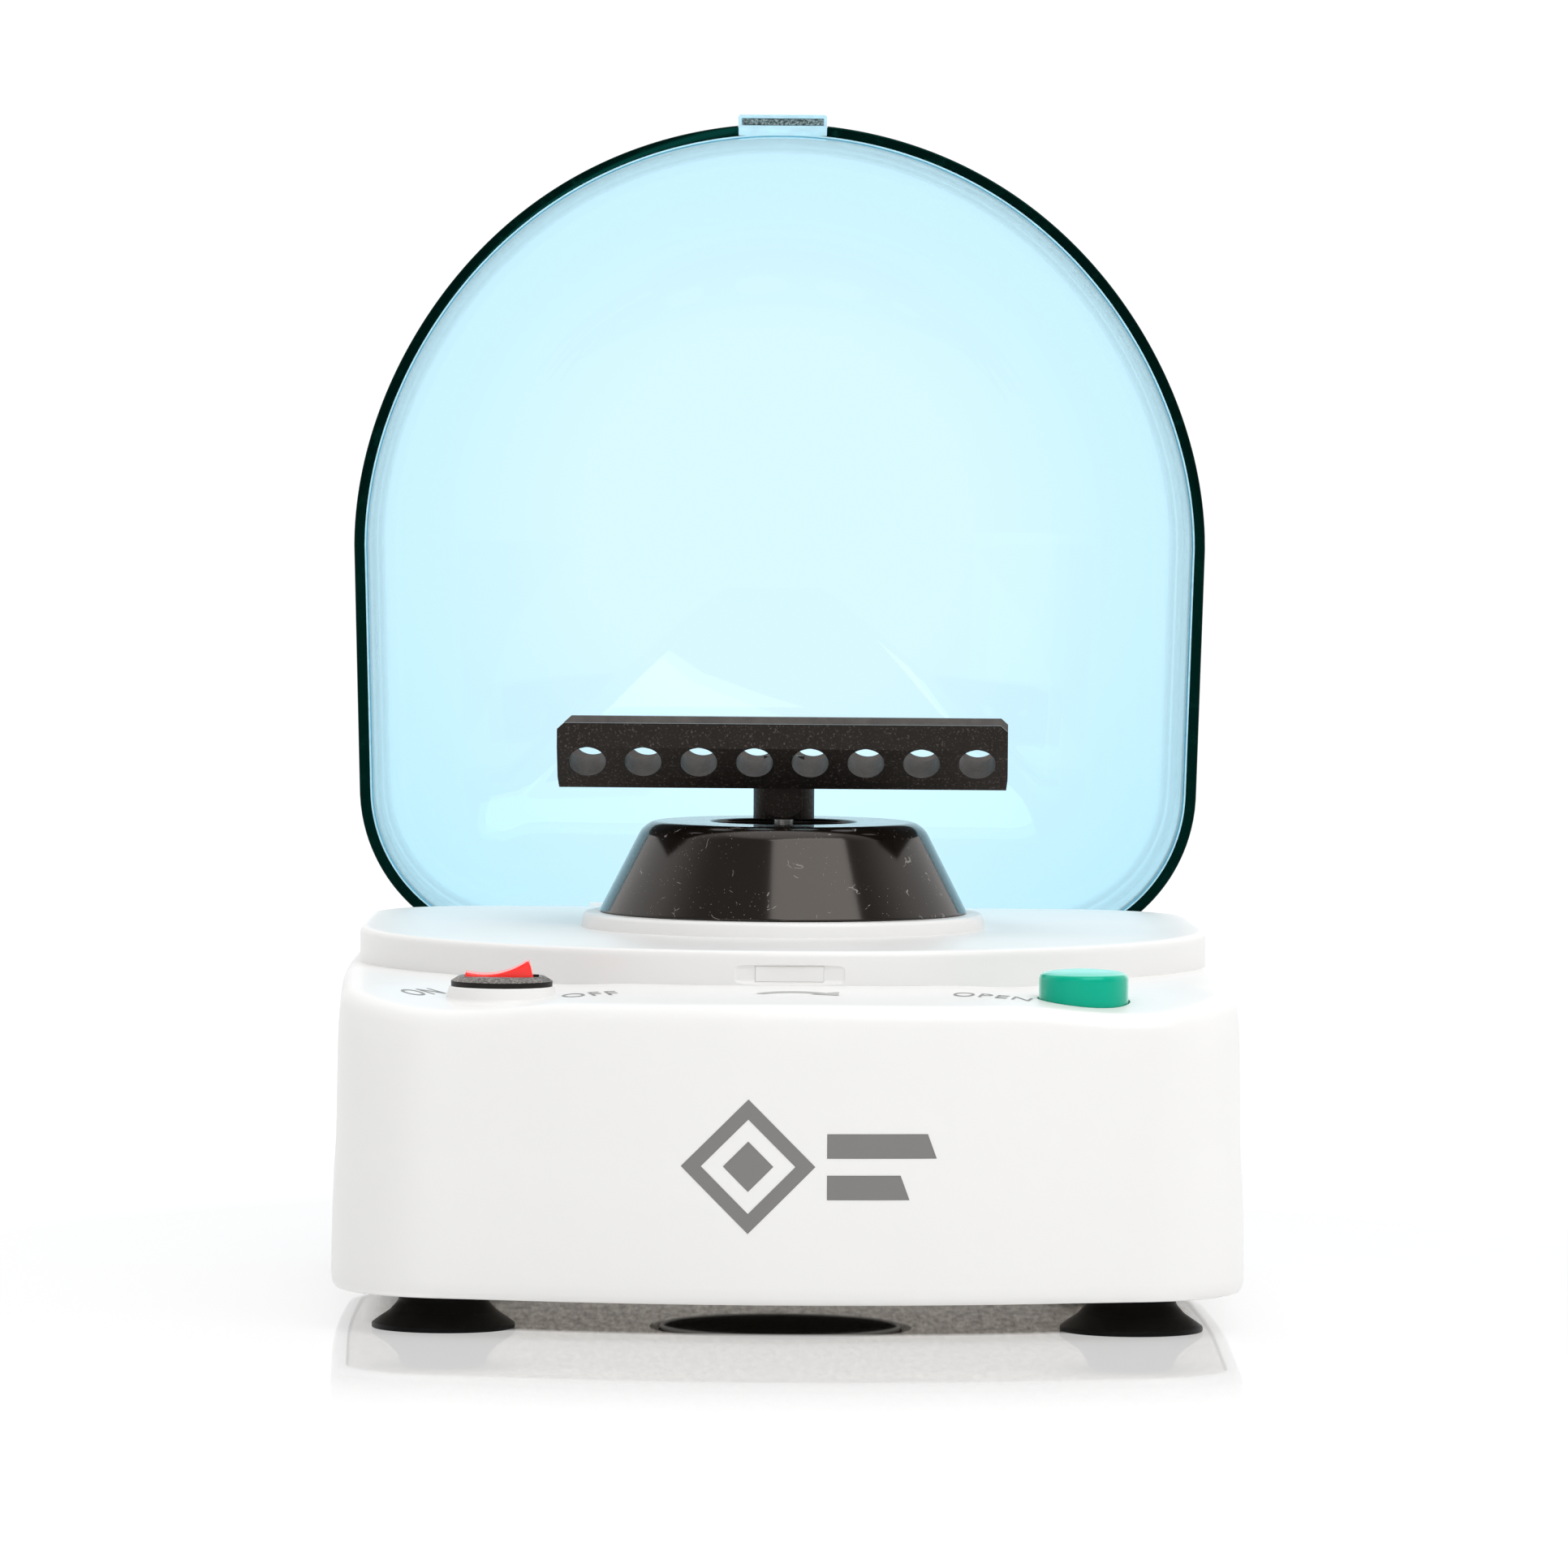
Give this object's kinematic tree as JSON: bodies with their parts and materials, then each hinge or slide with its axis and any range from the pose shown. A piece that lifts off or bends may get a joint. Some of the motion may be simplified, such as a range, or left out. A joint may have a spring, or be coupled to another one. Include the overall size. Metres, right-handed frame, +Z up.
{
  "type": "mini laboratory centrifuge",
  "caption": "Small bench centrifuge with a clear blue hinged lid standing open, a black rotor for tube strips over a coned drive, a rocker switch, a lid button and suction feet.",
  "frame": {"origin": "centre of the footprint box at table height, with the lid open", "axes": "+X to the operator's right, +Y away from the operator, +Z up"},
  "size_m": [0.1454, 0.2205, 0.1923],
  "materials": {
    "white_shell": "satin moulded white",
    "dark_base": "grained dark grey",
    "black_rubber": "smooth black",
    "zinc_steel": "zinc plated",
    "black_gloss": "polished black",
    "bright_steel": "bright",
    "black_matte": "fine textured black",
    "dark_magnet": "ferrite",
    "wound_core": "enamelled windings on an iron core",
    "contact_brass": "plain",
    "clear_blue": "clear, light blue tint",
    "red_rocker": "translucent red",
    "green_button": "satin green",
    "board_green": "solder mask"
  },
  "bodies": {
    "base": {"upper_housing": "white_shell", "bottom_plate": "dark_base", "foot_front_left": "black_rubber", "foot_front_right": "black_rubber", "foot_rear_left": "black_rubber", "foot_rear_right": "black_rubber", "plate_screw_1": "zinc_steel", "plate_screw_2": "zinc_steel", "plate_screw_3": "zinc_steel", "plate_screw_4": "zinc_steel", "motor_cap": "black_gloss", "motor_can": "bright_steel", "motor_end_bell": "black_matte", "motor_bearing_boss": "black_gloss", "motor_magnet_left": "dark_magnet", "motor_magnet_right": "dark_magnet", "motor_bracket": "zinc_steel", "motor_damper_1": "black_rubber", "motor_damper_2": "black_rubber", "motor_damper_3": "black_rubber", "motor_screw_1": "zinc_steel", "motor_screw_2": "zinc_steel", "motor_screw_3": "zinc_steel", "cone_cowl": "black_gloss", "hinge_pin": "bright_steel", "switch_bezel": "black_matte", "switch_terminal_live": "contact_brass", "switch_terminal_load": "contact_brass", "button_spring": "bright_steel", "latch_spring": "bright_steel", "lid_sensor": "black_matte", "power_inlet": "black_matte", "inlet_nut": "zinc_steel", "circuit_board": "board_green"},
    "lid": {"clear_lid": "clear_blue", "lid_spring_left": "bright_steel", "lid_spring_right": "bright_steel"},
    "spindle": {"drive_shaft": "bright_steel", "armature": "wound_core"},
    "rotor": {"strip_rotor": "black_matte"},
    "rocker": {"power_rocker": "red_rocker"},
    "button": {"open_button": "green_button"},
    "latch": {"latch_slide": "white_shell"}
  },
  "joints": [
    {"name": "lid_hinge", "type": "hinge", "parent": "base", "child": "lid", "pos_m": [0, 0.05075, 0.057], "axis": [1, 0, 0], "range_deg": [0, 90], "stiffness_Nm_per_rad": 0.05, "springref_deg": -17.19},
    {"name": "rotor_spin", "type": "hinge", "parent": "base", "child": "spindle", "pos_m": [0, -0.01225, 0.06], "axis": [0, 0, 1], "continuous": true},
    {"name": "rotor_lift", "type": "slide", "parent": "spindle", "child": "rotor", "axis": [0, 0, 1], "range_m": [0, 0.012]},
    {"name": "power_rocker", "type": "hinge", "parent": "base", "child": "rocker", "pos_m": [-0.0451, -0.08725, 0.0531], "axis": [0, 1, 0], "range_deg": [0, 21.2]},
    {"name": "open_button", "type": "slide", "parent": "base", "child": "button", "axis": [0, 0, -1], "range_m": [0, 0.0032], "stiffness_N_per_m": 400, "springref_m": -0.0015, "deforming": ["button_spring"]},
    {"name": "latch_travel", "type": "slide", "parent": "base", "child": "latch", "axis": [0, 1, 0], "range_m": [0, 0.00195], "stiffness_N_per_m": 200, "springref_m": -0.002, "deforming": ["latch_spring"]}
  ],
  "couplings": [
    {"joint": "latch_travel", "follows": "open_button", "ratio": 0.6}
  ]
}
